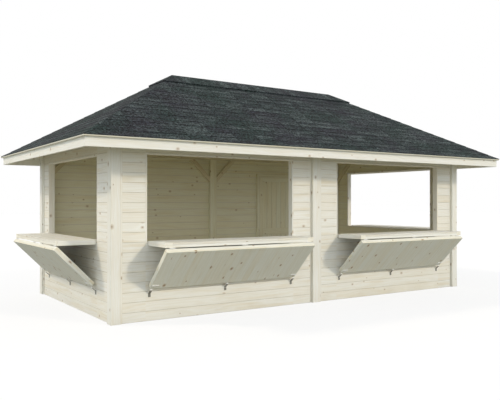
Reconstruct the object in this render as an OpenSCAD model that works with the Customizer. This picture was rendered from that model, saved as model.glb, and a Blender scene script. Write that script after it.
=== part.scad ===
// Market stall with a hipped roof, boarded walls and folding serving hatches.
// Millimetres. +X runs along the front to the right, +Y to the back, +Z up.
// The origin is on the ground under the middle of the roof.

/* [Overall] */
// Length over the outer faces of the corner posts
stall_l = 6000; // [4200:10:9000]
// Depth over the outer faces of the corner posts
stall_w = 3000; // [2400:10:4200]
// Height of the posts and boarded walls, up to the wall plate
wall_h = 2150; // [1900:5:2700]

/* [Posts and walls] */
// Side of a corner post
corner_post = 120; // [70:5:200]
// Width of a middle post along its wall
middle_post = 140; // [70:5:220]
// How far the posts stand out past the boards
post_proud = 30; // [5:1:60]
// Thickness of a boarded wall
wall_t = 44; // [19:1:90]
// Width of the cover strip at one end of each wall panel
strip_w = 30; // [15:1:60]
// Thickness of the cover strip
strip_t = 12; // [6:1:25]
// Width of the wall plate beam
plate_w = 90; // [60:5:140]
// Height of the wall plate beam
plate_h = 135; // [80:5:200]

/* [Serving openings] */
// Clear width of each front opening
front_open_w = 2135; // [900:5:2600]
// Clear width of each end opening
end_open_w = 2060; // [900:5:2400]
// How far the left end's opening sits behind the middle of its wall
left_end_shift = 78; // [0:1:150]
// Height of the opening's sill above the ground
sill_z = 931; // [700:1:1200]
// Height of the opening's top above the ground
head_z = 1960; // [1500:5:2100]
// Thickness of the boards that line an opening
lining_t = 20; // [12:1:40]
// Depth of the lining boards through the wall
lining_d = 86; // [50:1:120]

/* [Hatches] */
// Depth of the counter leaf, out from the wall
counter_d = 460; // [300:1:600]
// Thickness of the counter leaf
counter_t = 56; // [25:1:80]
// Length of the sloping leaf
panel_l = 636; // [400:1:900]
// Thickness of the sloping leaf
panel_t = 56; // [25:1:70]
// Slope of the sloping leaf below level, in degrees
panel_slope = 45; // [35:1:60]
// Side clearance of a leaf in its opening
leaf_gap = 12; // [8:1:40]
// Clearance between the counter and the wall
wall_gap = 8; // [6:1:20]
// Length of a hinge along the leaf
hinge_l = 70; // [40:2:120]
// Distance from a leaf's end to the middle of its outer hinges
hinge_inset = 85; // [60:5:300]
// Width of a rest bracket
bracket_w = 30; // [20:1:80]
// Height of a rest bracket
bracket_h = 100; // [80:1:140]
// How far a rest bracket stands out from the wall
bracket_d = 54; // [30:1:80]
// Length of a sliding bolt
bolt_l = 88; // [50:1:140]

/* [Door] */
// Width of the door leaf
door_w = 940; // [700:5:1100]
// Height of the top of the door leaf
door_top = 1870; // [1700:5:2000]
// Thickness of the door leaf
door_t = 42; // [30:1:60]
// Gap round the door leaf
door_gap = 8; // [5:1:12]
// Gap under the door leaf
door_floor_gap = 20; // [8:1:60]
// Width of the stiles and the top rail
stile_w = 90; // [60:5:140]
// Width of the middle rail
mid_rail_w = 110; // [60:5:180]
// Height of the top of the middle rail
mid_rail_z = 900; // [600:5:1200]
// Width of the bottom rail
bottom_rail_w = 140; // [80:5:220]
// Thickness of the boards that fill the leaf
door_board_t = 20; // [12:1:30]
// Width of the door frame's boards
frame_w = 45; // [30:1:80]
// How far the stop inside the frame reaches in from it
door_stop = 20; // [14:1:30]

/* [Knee braces] */
// Level length of a brace, from the post to its far end
brace_run = 400; // [250:5:600]
// Width of a brace
brace_w = 70; // [40:2:120]

/* [Roof] */
// Pitch of the roof in degrees
pitch = 30; // [20:0.5:40]
// How far the roof covering reaches past the posts
eave = 475; // [200:5:700]
// Upright thickness of the roof covering
cover_v = 10; // [4:1:20]
// Upright thickness of the roof boarding
deck_v = 22; // [15:1:35]
// Upright height of a rafter
rafter_v = 95; // [70:5:160]
// Width of a rafter
rafter_w = 45; // [35:1:80]
// Distance between rafters
rafter_step = 650; // [400:10:800]
// Width of a hip rafter and of the ridge beam
hip_w = 60; // [40:2:90]
// Depth of the rafter's notch over the wall plate
seat_cut = 17; // [8:1:40]
// Thickness of the fascia board
fascia_t = 20; // [15:1:30]
// Height of the fascia board's lower edge above the ground
fascia_z = 1975; // [1700:5:2300]
// How far the covering reaches past the fascia board
drip = 35; // [20:1:60]
// How far the eave trim stands out from the fascia board
trim_d = 30; // [10:1:50]
// Height of the eave trim on its outer face
trim_h = 16; // [8:1:30]
// Level width of one side of the ridge cap
cap_w = 240; // [120:5:400]
// Upright thickness of the ridge cap
cap_v = 16; // [6:1:30]

/* [Hidden] */
$fn = 32;
slope_t = tan(pitch);
half_l = stall_l / 2;
half_w = stall_w / 2;
face_y = half_w - post_proud;      // outer face of the front and back boards
face_x = half_l - post_proud;      // outer face of the end boards
plate_top = wall_h + plate_h;
// top of the covering at its outer edge
edge_z = plate_top - seat_cut + rafter_v + deck_v + cover_v - (eave + post_proud) * slope_t;
fascia_u = eave - drip;            // outer face of the fascia, past the posts
lay_gap = 0.2;                     // between one roof layer and the next
ridge_x = half_l - half_w;         // half the length of the ridge
bay_in = middle_post / 2;
bay_out = half_l - corner_post;
bay_mid = (bay_in + bay_out) / 2;  // middle of each front and back bay
end_in = half_w - corner_post;     // half the width of an end bay
// an opening keeps clear of the feet of the knee braces beside it
brace_keep = head_z + 2 * lining_t - wall_h + brace_run + 5;
front_open = min(front_open_w, bay_out - bay_in - 2 * brace_keep);
end_open = min(end_open_w, 2 * (end_in - left_end_shift - brace_keep));
front_leaf = front_open - 2 * leaf_gap;
end_leaf = end_open - 2 * leaf_gap;
// counter: outward distance s and height z, measured from the outer face of the boards
hinge_r = 5;
pin_s = wall_gap + 4;              // sill hinge axis
counter_top = sill_z + 9;
pin_z = counter_top - 4;
counter_end = wall_gap + counter_d;
counter_low = counter_top - counter_t;
fold_r = 5;
fold_s = counter_end + 6;          // fold hinge axis
fold_z = counter_low - 5;
fold_end = 8;                      // from the fold axis to the leaf's end
side_knuckle = 0.24 * hinge_l;
knuckle_gap = 0.5;
dir_s = -cos(panel_slope);
dir_z = -sin(panel_slope);
out_s = sin(panel_slope);
out_z = -cos(panel_slope);
// the sloping leaf ends clear of the wall
panel_len = min(panel_l, (fold_s - 10) / cos(panel_slope) - fold_end);
panel_low_z = fold_z + (fold_end + panel_len) * dir_z + panel_t * out_z;
bracket_top = panel_low_z - 4;
bracket_t = 4;                     // thickness of a rest bracket, the height of its lip and of its foot
lip_h = 16;
foot_h = 40;
door_x0 = bay_mid - door_w / 2;
door_x1 = bay_mid + door_w / 2;
gap_x0 = door_x0 - door_gap;
gap_x1 = door_x1 + door_gap;
cut_x0 = gap_x0 - frame_w;
cut_x1 = gap_x1 + frame_w;
cut_z = door_top + door_gap + frame_w;
door_pin_x = door_x0 - door_gap / 2;
door_pin_r = 7;
frame_out = 8;                     // how far the door frame stands out past the boards
door_pin_y = face_y + frame_out + door_pin_r + 1;
stop_y = face_y - door_t - 6;      // outer face of the door stop

wood = [0.87, 0.85, 0.78];
shade = [0.80, 0.78, 0.70];
steel = [0.72, 0.72, 0.70];
felt = [0.26, 0.29, 0.31];

// ---- helpers ----

// box between two corners
module block(a, b) {
    translate(a) cube(b - a);
}

// extrudes a [y, z] profile along X from x0 over a length
module along_x(x0, len) {
    translate([x0, 0, 0]) rotate([90, 0, 90]) linear_extrude(len) children();
}

// a cylinder along X at outward distance s and height z from a front face
module pin_x(x0, len, s, z, r) {
    translate([x0, -s, z]) rotate([0, 90, 0]) cylinder(h = len, r = r);
}

// the four faces: what is drawn on the front at y = 0 goes to each wall's outer face
module on_front(x) {
    translate([x, -face_y, 0]) children();
}
module on_back(x) {
    rotate([0, 0, 180]) translate([x, -face_y, 0]) children();
}
module on_left(x = 0) {
    rotate([0, 0, -90]) translate([x, -face_x, 0]) children();
}
module on_right() {
    rotate([0, 0, 90]) translate([0, -face_x, 0]) children();
}

// height of the covering's top at distance u outside the posts
function roof_z(u) = edge_z + (eave - u) * slope_t;

// ---- walls ----

// a boarded wall panel centred at x = 0 with one lined opening centred at x = at
module wall_with_opening(w, open_w, at = 0) {
    color(wood) difference() {
        block([-w / 2, 0, 0], [w / 2, wall_t, wall_h]);
        block([at - open_w / 2 - lining_t, -1, sill_z - lining_t],
              [at + open_w / 2 + lining_t, wall_t + 1, head_z + lining_t]);
    }
}

module front_wall_left() {
    on_front(-bay_mid) wall_with_opening(bay_out - bay_in, front_open);
}
module front_wall_right() {
    on_front(bay_mid) wall_with_opening(bay_out - bay_in, front_open);
}
module left_end_wall() {
    on_left() wall_with_opening(2 * end_in, end_open, -left_end_shift);
}
module right_end_wall() {
    on_right() wall_with_opening(2 * end_in, end_open);
}
module back_wall_left() {
    color(wood) block([-bay_out, face_y - wall_t, 0], [-bay_in, face_y, wall_h]);
}
module back_wall_beside_door_left() {
    color(wood) block([bay_in, face_y - wall_t, 0], [cut_x0, face_y, cut_z]);
}
module back_wall_beside_door_right() {
    color(wood) block([cut_x1, face_y - wall_t, 0], [bay_out, face_y, cut_z]);
}
module back_wall_over_door() {
    color(wood) block([bay_in, face_y - wall_t, cut_z], [bay_out, face_y, wall_h]);
}

// ---- posts ----

module corner(sx, sy) {
    color(wood) translate([sx * (half_l - corner_post / 2), sy * (half_w - corner_post / 2), 0])
        translate([-corner_post / 2, -corner_post / 2, 0])
            cube([corner_post, corner_post, wall_h]);
}
module middle(sy) {
    color(wood) translate([-middle_post / 2, sy * (half_w - corner_post / 2) - corner_post / 2, 0])
        cube([middle_post, corner_post, wall_h]);
}
module post_front_left() { corner(-1, -1); }
module post_front_middle() { middle(-1); }
module post_front_right() { corner(1, -1); }
module post_back_left() { corner(-1, 1); }
module post_back_middle() { middle(1); }
module post_back_right() { corner(1, 1); }

// a cover strip at the left end of each wall panel, seen from outside
module strip(x) {
    block([x, -strip_t, 0], [x + strip_w, 0, wall_h]);
}
module cover_strips() {
    color(wood) {
        on_front(0) strip(-bay_out);
        on_front(0) strip(bay_in);
        on_back(0) strip(-bay_out);
        on_back(0) strip(bay_in);
        on_left() strip(-end_in);
        on_right() strip(-end_in);
    }
}

module wall_plate() {
    color(shade) difference() {
        block([-face_x, -face_y, wall_h], [face_x, face_y, plate_top]);
        block([plate_w - face_x, plate_w - face_y, wall_h - 1],
              [face_x - plate_w, face_y - plate_w, plate_top + 1]);
    }
}

// ---- openings ----

module lining(open_w) {
    difference() {
        block([-open_w / 2 - lining_t, 0, sill_z - lining_t],
              [open_w / 2 + lining_t, lining_d, head_z + lining_t]);
        block([-open_w / 2, -1, sill_z], [open_w / 2, lining_d + 1, head_z]);
    }
}
module opening_linings() {
    color(shade) {
        on_front(-bay_mid) lining(front_open);
        on_front(bay_mid) lining(front_open);
        on_left(-left_end_shift) lining(end_open);
        on_right() lining(end_open);
    }
}

// ---- knee braces ----

// a brace that rises to the right from a post face at x = 0 to the wall plate
module brace() {
    back = corner_post - post_proud;
    z0 = wall_h - brace_run;
    translate([0, back, 0]) rotate([90, 0, 0]) linear_extrude(back - wall_t)
        polygon([[0, z0], [brace_run, wall_h], [brace_run - brace_w * sqrt(2), wall_h],
                 [0, z0 + brace_w * sqrt(2)]]);
}
module brace_pair(x0, x1) {
    translate([x0, 0, 0]) brace();
    translate([x1, 0, 0]) mirror([1, 0, 0]) brace();
}
module knee_braces() {
    color(shade) {
        on_front(0) brace_pair(-bay_out, -bay_in);
        on_front(0) brace_pair(bay_in, bay_out);
        on_back(0) brace_pair(-bay_out, -bay_in);
        on_back(0) brace_pair(bay_in, bay_out);
        on_left() brace_pair(-end_in, end_in);
        on_right() brace_pair(-end_in, end_in);
    }
}

// ---- door ----

// the frame, with a stop inside it that the leaf closes against
module door_frame() {
    color(wood) difference() {
        block([cut_x0, face_y - lining_d + frame_out, 0], [cut_x1, face_y + frame_out, cut_z]);
        block([gap_x0, stop_y, -1], [gap_x1, face_y + frame_out + 1, cut_z - frame_w]);
        block([gap_x0 + door_stop, face_y - lining_d, -1],
              [gap_x1 - door_stop, face_y, cut_z - frame_w - door_stop]);
    }
}
module door_leaf() {
    y0 = face_y - door_t;
    color(wood) difference() {
        block([door_x0, y0, door_floor_gap], [door_x1, face_y, door_top]);
        for (y = [y0 - 1, face_y - (door_t - door_board_t) / 2]) {
            block([door_x0 + stile_w, y, mid_rail_z],
                  [door_x1 - stile_w, y + (door_t - door_board_t) / 2 + 1, door_top - stile_w]);
            block([door_x0 + stile_w, y, door_floor_gap + bottom_rail_w],
                  [door_x1 - stile_w, y + (door_t - door_board_t) / 2 + 1,
                   mid_rail_z - mid_rail_w]);
        }
    }
}
door_hinge_z = [door_floor_gap + 200, (door_floor_gap + door_top) / 2 + 90, door_top - 200];
module door_barrel(z0, z1) {
    translate([door_pin_x, door_pin_y, z0]) cylinder(h = z1 - z0, r = door_pin_r);
}
// fixed half: a plate on the frame and the middle knuckle
module door_hinge_pins() {
    color(steel) for (z = door_hinge_z) union() {
        door_barrel(z - 18, z + 18);
        block([gap_x0 - 34, face_y + frame_out, z - 18],
              [door_pin_x, face_y + frame_out + 4, z + 18]);
    }
}
// moving half: two knuckles and a plate on the leaf
module door_hinge_straps() {
    color(steel) for (z = door_hinge_z) union() {
        door_barrel(z - 40, z - 18 - knuckle_gap);
        door_barrel(z + 18 + knuckle_gap, z + 40);
        for (s = [-1, 1]) {
            m = z + s * (29 + knuckle_gap / 2);
            block([door_pin_x, face_y + 10, m - 11 + knuckle_gap / 2],
                  [door_x0 + 9, face_y + 13, m + 11 - knuckle_gap / 2]);
        }
        block([door_x0 + 6, face_y, z - 40], [door_x0 + 60, face_y + 3, z + 40]);
        block([door_x0 + 6, face_y, z - 40], [door_x0 + 9, face_y + 13, z - 18 - knuckle_gap]);
        block([door_x0 + 6, face_y, z + 18 + knuckle_gap], [door_x0 + 9, face_y + 13, z + 40]);
    }
}
// a lever handle with its plate on each face of the leaf
module door_handles() {
    hx = door_x1 - stile_w / 2;
    hz = mid_rail_z + 110;
    color(steel) for (side = [0, 1]) translate([0, side * (2 * face_y - door_t), 0])
        mirror([0, side, 0]) union() {
            y0 = face_y - door_t;
            block([hx - 19, y0 - 6, hz - 120], [hx + 19, y0, hz + 60]);
            translate([hx, y0 - 6, hz]) rotate([90, 0, 0]) cylinder(h = 44, r = 8);
            translate([hx, y0 - 50, hz]) rotate([0, -90, 0]) cylinder(h = 110, r = 8);
            translate([hx, y0 - 50, hz]) sphere(r = 8);
        }
}

// ---- hatches ----

function hinge_xs(w) = [-w / 2 + hinge_inset, 0, w / 2 - hinge_inset];

// counter leaf, with a pocket over each sill hinge
module counter(w) {
    color(wood) difference() {
        block([-w / 2, -counter_end, counter_low], [w / 2, -wall_gap, counter_top]);
        for (x = hinge_xs(w))
            block([x - hinge_l / 2 - 4, -wall_gap - 13, counter_top - 13],
                  [x + hinge_l / 2 + 4, 0, counter_top + 1]);
    }
}
// hinge halves that move with the counter: at the sill, and at the fold
module counter_hinges(w) {
    e = hinge_l / 2;
    k = side_knuckle;
    color(steel) for (x = hinge_xs(w)) {
        for (a = [x - e, x + e - k]) union() {
            pin_x(a, k, pin_s, pin_z, hinge_r);
            block([a, -wall_gap - 13, pin_z - 3], [a + k, -pin_s, pin_z]);
        }
        union() {
            pin_x(x - e + k + knuckle_gap, hinge_l - 2 * k - 2 * knuckle_gap, fold_s, fold_z,
                  fold_r);
            block([x - e + k + knuckle_gap, -fold_s, counter_low - 4],
                  [x + e - k - knuckle_gap, -counter_end + 45, counter_low]);
            block([x - e + k + knuckle_gap, -fold_s, fold_z],
                  [x + e - k - knuckle_gap, -fold_s + fold_r, counter_low - 2]);
        }
    }
}
// sloping leaf: a slab that starts at the fold and leans back down to the wall
module panel(w) {
    a = [fold_s + fold_end * dir_s, fold_z + fold_end * dir_z];
    b = a + panel_len * [dir_s, dir_z];
    n = panel_t * [out_s, out_z];
    color(wood) along_x(-w / 2, w)
        polygon([for (p = [a, b, b + n, a + n]) [-p[0], p[1]]]);
}
// what moves with the sloping leaf: its hinge halves and two sliding bolts
module panel_fittings(w) {
    e = hinge_l / 2;
    k = side_knuckle;
    f = [fold_s, fold_z];
    d = [dir_s, dir_z];
    n = [out_s, out_z];
    color(steel) {
        for (x = hinge_xs(w)) for (a = [x - e, x + e - k]) union() {
            pin_x(a, k, fold_s, fold_z, fold_r);
            along_x(a, k)
                polygon([for (p = [f, f + 50 * d, f + 50 * d - 3 * n, f - 3 * n]) [-p[0], p[1]]]);
        }
        for (s = [-1, 1]) {
            far = f + (fold_end + panel_len - 67) * d + panel_t * n;
            along_x(s * (w / 2 - 4 - bolt_l / 2) - bolt_l / 2, bolt_l)
                polygon([for (p = [far, far + 16 * d, far + 16 * d + 12 * n, far + 12 * n])
                    [-p[0], p[1]]]);
        }
    }
}
// fixed half of the sill hinges: a plate on the sill and the middle knuckle
module sill_hinge(x) {
    m = hinge_l - 2 * side_knuckle - 2 * knuckle_gap;
    union() {
        pin_x(x - m / 2, m, pin_s, pin_z, hinge_r);
        block([x - m / 2, -pin_s, sill_z], [x + m / 2, 45, sill_z + 3]);
    }
}
module sill_hinges() {
    color(steel) {
        for (x = hinge_xs(front_leaf)) {
            on_front(-bay_mid) sill_hinge(x);
            on_front(bay_mid) sill_hinge(x);
        }
        for (x = hinge_xs(end_leaf)) {
            on_left(-left_end_shift) sill_hinge(x);
            on_right() sill_hinge(x);
        }
    }
}
// a bent steel bar under the sloping leaf: a foot on the wall, an arm rising outwards and a lip
module rest_bracket(x) {
    low = bracket_top - bracket_h;
    neck = bracket_top - lip_h;
    along_x(x - bracket_w / 2, bracket_w)
        polygon([[0, low], [0, low + foot_h + 3], [-bracket_d + bracket_t, neck + 3],
                 [-bracket_d + bracket_t, bracket_top], [-bracket_d, bracket_top], [-bracket_d, neck],
                 [-bracket_t, low + foot_h], [-bracket_t, low]]);
}
module rest_row(w) {
    for (x = [-w / 2 + 15, 0, w / 2 - 15]) rest_bracket(x);
}
module rest_brackets() {
    color(steel) {
        on_front(-bay_mid) rest_row(front_leaf);
        on_front(bay_mid) rest_row(front_leaf);
        on_left(-left_end_shift) rest_row(end_leaf);
        on_right() rest_row(end_leaf);
    }
}

module front_left_counter() { on_front(-bay_mid) counter(front_leaf); }
module front_left_counter_hinges() { on_front(-bay_mid) counter_hinges(front_leaf); }
module front_left_panel() { on_front(-bay_mid) panel(front_leaf); }
module front_left_panel_fittings() { on_front(-bay_mid) panel_fittings(front_leaf); }
module front_right_counter() { on_front(bay_mid) counter(front_leaf); }
module front_right_counter_hinges() { on_front(bay_mid) counter_hinges(front_leaf); }
module front_right_panel() { on_front(bay_mid) panel(front_leaf); }
module front_right_panel_fittings() { on_front(bay_mid) panel_fittings(front_leaf); }
module left_end_counter() { on_left(-left_end_shift) counter(end_leaf); }
module left_end_counter_hinges() { on_left(-left_end_shift) counter_hinges(end_leaf); }
module left_end_panel() { on_left(-left_end_shift) panel(end_leaf); }
module left_end_panel_fittings() { on_left(-left_end_shift) panel_fittings(end_leaf); }
module right_end_counter() { on_right() counter(end_leaf); }
module right_end_counter_hinges() { on_right() counter_hinges(end_leaf); }
module right_end_panel() { on_right() panel(end_leaf); }
module right_end_panel_fittings() { on_right() panel_fittings(end_leaf); }

// ---- roof ----

// plan of one roof side, on the front: own half depth, the other half length, reach past
// the posts, what is kept off each hip line, and what is kept off the ridge
module side_plan(half, other, reach, off_hip, off_ridge) {
    k = off_hip * sqrt(2);
    top_x = other - half_w;
    q = max(off_ridge, k - top_x);
    x1 = top_x + q - k;
    y1 = -(half - half_w) - q;
    far = [[-(other + reach) + k, -(half + reach)], [other + reach - k, -(half + reach)]];
    translate([0, 0, fascia_z - 500]) linear_extrude(roof_z(-half_w) - fascia_z + 1000)
        polygon(x1 > 0.01 ? concat(far, [[x1, y1], [-x1, y1]]) : concat(far, [[0, y1]]));
}
// profile of a layer of one roof side, between two depths under the covering's top
module layer(half, reach, t0, t1) {
    a = -(half + reach);
    b = -(half - half_w);
    polygon([[a, roof_z(reach) - t0], [b, roof_z(-half_w) - t0],
             [b, roof_z(-half_w) - t1], [a, roof_z(reach) - t1]]);
}
module side_layer(half, other, reach, t0, t1) {
    intersection() {
        along_x(-(other + reach), 2 * (other + reach)) layer(half, reach, t0, t1);
        side_plan(half, other, reach, 0, 0);
    }
}
module four_layers(reach, t0, t1) {
    for (a = [0, 180]) rotate([0, 0, a]) side_layer(half_w, half_l, reach, t0, t1);
    for (a = [-90, 90]) rotate([0, 0, a]) side_layer(half_l, half_w, reach, t0, t1);
}
// everything under the roof planes at a depth t below the covering's top
module under_roof(reach, t) {
    z0 = fascia_z - 400;
    intersection() {
        along_x(-(half_l + reach), 2 * (half_l + reach))
            polygon([[-(half_w + reach), z0], [half_w + reach, z0],
                     [half_w + reach, roof_z(reach) - t], [0, roof_z(-half_w) - t],
                     [-(half_w + reach), roof_z(reach) - t]]);
        rotate([0, 0, 90]) along_x(-(half_w + reach), 2 * (half_w + reach))
            polygon([[-(half_l + reach), z0], [half_l + reach, z0],
                     [half_l + reach, roof_z(reach) - t], [ridge_x, roof_z(-half_w) - t],
                     [-ridge_x, roof_z(-half_w) - t], [-(half_l + reach), roof_z(reach) - t]]);
    }
}
deck_low = cover_v + deck_v;
rafter_low = deck_low + rafter_v;
tail = fascia_u - fascia_t;        // where the rafter tails end, past the posts

module side_rafters(half, other, count) {
    intersection() {
        for (i = [-count : count])
            along_x(i * rafter_step - rafter_w / 2, rafter_w)
                layer(half, tail, deck_low, rafter_low);
        side_plan(half, other, tail, hip_w / 2, hip_w / 2);
    }
}
module rafters() {
    n_long = floor((ridge_x + 900) / rafter_step);
    n_end = max(0, floor((half_w - 500) / rafter_step));
    color(shade) difference() {
        union() {
            for (a = [0, 180]) rotate([0, 0, a]) side_rafters(half_w, half_l, n_long);
            for (a = [-90, 90]) rotate([0, 0, a]) side_rafters(half_l, half_w, n_end);
        }
        wall_plate();
    }
}
module hip_rafters_and_ridge() {
    run = half_w + tail;
    color(shade) difference() {
        intersection() {
            union() {
                for (sx = [-1, 1]) for (sy = [-1, 1])
                    translate([sx * ridge_x, 0, 0]) rotate([0, 0, sy * (90 - sx * 45)])
                        block([-hip_w / 2, -hip_w / 2, fascia_z - 100],
                              [run * sqrt(2) + hip_w, hip_w / 2, roof_z(-half_w)]);
                block([-ridge_x, -hip_w / 2, fascia_z - 100],
                      [ridge_x, hip_w / 2, roof_z(-half_w)]);
            }
            under_roof(tail, deck_low);
        }
        under_roof(tail + 50, rafter_low);
        wall_plate();
    }
}
module roof_boarding_front() {
    color(shade) side_layer(half_w, half_l, fascia_u, cover_v, deck_low - lay_gap);
}
module roof_boarding_back() {
    color(shade) rotate([0, 0, 180]) side_layer(half_w, half_l, fascia_u, cover_v, deck_low - lay_gap);
}
module roof_boarding_left() {
    color(shade) rotate([0, 0, -90]) side_layer(half_l, half_w, fascia_u, cover_v, deck_low - lay_gap);
}
module roof_boarding_right() {
    color(shade) rotate([0, 0, 90]) side_layer(half_l, half_w, fascia_u, cover_v, deck_low - lay_gap);
}
module roof_shingles() {
    color(felt) four_layers(eave, 0, cover_v - lay_gap);
}
module ridge_cap() {
    color(felt) four_layers(cap_w - half_w, -cap_v, -lay_gap);
}
// a board along all four eaves, between two reaches, from z0 up to a depth under the covering
module eave_ring(u0, u1, z0, t) {
    difference() {
        intersection() {
            block([-(half_l + u1), -(half_w + u1), z0], [half_l + u1, half_w + u1, z0 + 400]);
            under_roof(u1, t);
        }
        block([-(half_l + u0), -(half_w + u0), z0 - 1], [half_l + u0, half_w + u0, z0 + 401]);
    }
}
module fascia_boards() {
    color(wood) eave_ring(tail, fascia_u, fascia_z, deck_low);
}
module eave_trim() {
    u1 = fascia_u + trim_d;
    color(wood) eave_ring(fascia_u, u1, roof_z(u1) - cover_v - trim_h, cover_v);
}

front_wall_left();
front_wall_right();
left_end_wall();
right_end_wall();
back_wall_left();
back_wall_beside_door_left();
back_wall_beside_door_right();
back_wall_over_door();
post_front_left();
post_front_middle();
post_front_right();
post_back_left();
post_back_middle();
post_back_right();
cover_strips();
wall_plate();
opening_linings();
knee_braces();
door_frame();
door_leaf();
door_hinge_pins();
door_hinge_straps();
door_handles();
sill_hinges();
rest_brackets();
front_left_counter();
front_left_counter_hinges();
front_left_panel();
front_left_panel_fittings();
front_right_counter();
front_right_counter_hinges();
front_right_panel();
front_right_panel_fittings();
left_end_counter();
left_end_counter_hinges();
left_end_panel();
left_end_panel_fittings();
right_end_counter();
right_end_counter_hinges();
right_end_panel();
right_end_panel_fittings();
rafters();
hip_rafters_and_ridge();
roof_boarding_front();
roof_boarding_back();
roof_boarding_left();
roof_boarding_right();
roof_shingles();
ridge_cap();
fascia_boards();
eave_trim();
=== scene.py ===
import math
import bpy
import numpy as np
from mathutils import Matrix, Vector


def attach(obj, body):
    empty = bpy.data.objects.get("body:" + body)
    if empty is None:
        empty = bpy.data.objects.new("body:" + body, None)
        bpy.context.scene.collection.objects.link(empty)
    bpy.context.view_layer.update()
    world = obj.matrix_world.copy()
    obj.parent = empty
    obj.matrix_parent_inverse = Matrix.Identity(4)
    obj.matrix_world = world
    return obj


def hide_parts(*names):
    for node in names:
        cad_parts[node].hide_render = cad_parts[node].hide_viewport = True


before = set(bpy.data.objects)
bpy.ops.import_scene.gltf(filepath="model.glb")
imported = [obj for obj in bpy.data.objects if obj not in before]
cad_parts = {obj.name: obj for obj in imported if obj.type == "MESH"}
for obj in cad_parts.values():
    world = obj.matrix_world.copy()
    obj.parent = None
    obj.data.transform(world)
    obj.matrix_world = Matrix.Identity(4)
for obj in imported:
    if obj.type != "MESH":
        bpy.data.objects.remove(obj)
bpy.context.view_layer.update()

# ---- the stall's own sizes, in metres, as the carpenter's drawing gives them ----
HALF_L, HALF_W = 3.0, 1.5              # over the posts
FACE_X, FACE_Y = 2.970, 1.470          # outer faces of the boards
PROUD = 0.030                          # the posts stand this far out of the boards
WALL_H, WALL_T = 2.150, 0.044
PLATE_TOP, PLATE_W = 2.285, 0.090
CORNER, MIDDLE = 0.120, 0.140          # posts
BAY_IN, BAY_OUT, BAY_MID = 0.070, 2.880, 1.475
END_IN = 1.380
FRONT_OPEN, END_OPEN = 2.135, 2.060
LEFT_MID = -0.078                      # the left end's opening sits back from the middle of its wall
SILL_Z, HEAD_Z = 0.931, 1.960
LINING_T, LINING_D = 0.020, 0.086
BOARD = 0.116                          # cover width of the matched boards
RECESS, BATTEN_T, BATTEN_IN = 0.026, 0.025, 0.022    # the open joint beside a post and the batten in it
STRIP_W, STRIP_T = 0.030, 0.012
BRACE_RUN, BRACE_W = 0.400, 0.070
LEAF_GAP = 0.012
COUNTER_NEAR, COUNTER_FAR = 0.008, 0.468
COUNTER_LOW, COUNTER_TOP = 0.884, 0.940
DECK_T, CLAMP_W, RAIL_W, SKIN_T = 0.026, 0.090, 0.070, 0.022
FOLD_S, FOLD_Z, FOLD_END, FOLD_R = 0.474, 0.879, 0.008, 0.005
PANEL_L, PANEL_T, PANEL_SLOPE = 0.636, 0.056, math.radians(45)
PANEL_BOARD = 0.096
HINGE_IN, HINGE_L, KNUCKLE = 0.085, 0.070, 0.0168
HINGE_T, HINGE_DROP, SCREW_DROP = 0.003, 0.050, 0.038
BOLT_L, BOLT_W, BOLT_UP, BOLT_R = 0.088, 0.016, 0.067, 0.0036
BOLT_PLATE, BOLT_OFF, BOLT_CLIPS, CLIP_W = 0.002, 0.0065, (0.012, 0.040, 0.068), 0.008
REST_W, REST_H, REST_D, REST_T, REST_IN, LIP_H, FOOT_H = 0.030, 0.100, 0.054, 0.004, 0.015, 0.016, 0.040
DOOR_X0, DOOR_X1, DOOR_FOOT, DOOR_TOP = 1.005, 1.945, 0.020, 1.870
DOOR_T, DOOR_GAP, FRAME_W, FRAME_OUT, DOOR_STOP = 0.042, 0.008, 0.045, 0.008, 0.020
STILE, MID_RAIL_Z, MID_RAIL_W, FOOT_RAIL = 0.090, 0.900, 0.110, 0.140
PITCH = math.radians(30)
COS, SIN, TAN = math.cos(PITCH), math.sin(PITCH), math.tan(PITCH)
EAVE = 0.475                           # past the posts, level
COVER_V, DECK_V, DECK_LOW = 0.010, 0.022, 0.032      # upright through the felt, the boarding and both
RAFTER_V, RAFTER_W, RAFTER_STEP, HIP_W, NOTCH_V = 0.095, 0.045, 0.650, 0.060, 0.017
EDGE_Z = PLATE_TOP - NOTCH_V + RAFTER_V + DECK_V + COVER_V - (EAVE + PROUD) * TAN
SLOPE_L = (HALF_W + EAVE) / COS        # up a slope, from the eave to where the slopes meet
FASCIA_U, FASCIA_T, FASCIA_Z, TRIM_U, TRIM_H = 0.440, 0.020, 1.975, 0.030, 0.016
RIDGE_X = HALF_L - HALF_W
CAP_W, CAP_V = 0.240, 0.016
COURSE, TAB = 0.142, 0.333
SNUG, HAIR, FIT = 0.0002, 0.0003, 0.0004             # clearances between fitted faces
EASE = 0.003                           # a planed arris
BEVELLED, END_GRAIN, ROOM_SIDE = 1.0, 2.0, 3.0       # what the arris values stand for

UP = np.array([0.0, 0.0, 1.0])
# each wall, seen from outside: the way along it to the right, the way out of it, how far out it is
WALLS = {
    "front": (np.array([1.0, 0, 0]), np.array([0, -1.0, 0]), FACE_Y),
    "back": (np.array([-1.0, 0, 0]), np.array([0, 1.0, 0]), FACE_Y),
    "left": (np.array([0, -1.0, 0]), np.array([-1.0, 0, 0]), FACE_X),
    "right": (np.array([0, 1.0, 0]), np.array([1.0, 0, 0]), FACE_X),
}


def on_wall(wall, x, s, z):
    """The point x along the wall, s out of its boards and z up: along·x + out·(reach + s) + up·z."""
    along, out, reach = WALLS[wall]
    x, s, z = np.broadcast_arrays(*[np.asarray(v, float) for v in (x, s, z)])
    return x[..., None] * along + (reach + s)[..., None] * out + z[..., None] * UP


def unit(v):
    """v divided by its length."""
    v = np.asarray(v, float)
    return v / np.linalg.norm(v, axis=-1, keepdims=True)


def aside(v):
    """The axis that lies least along v."""
    return np.eye(3)[int(np.argmin(np.abs(np.atleast_2d(v)[0])))]


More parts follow.
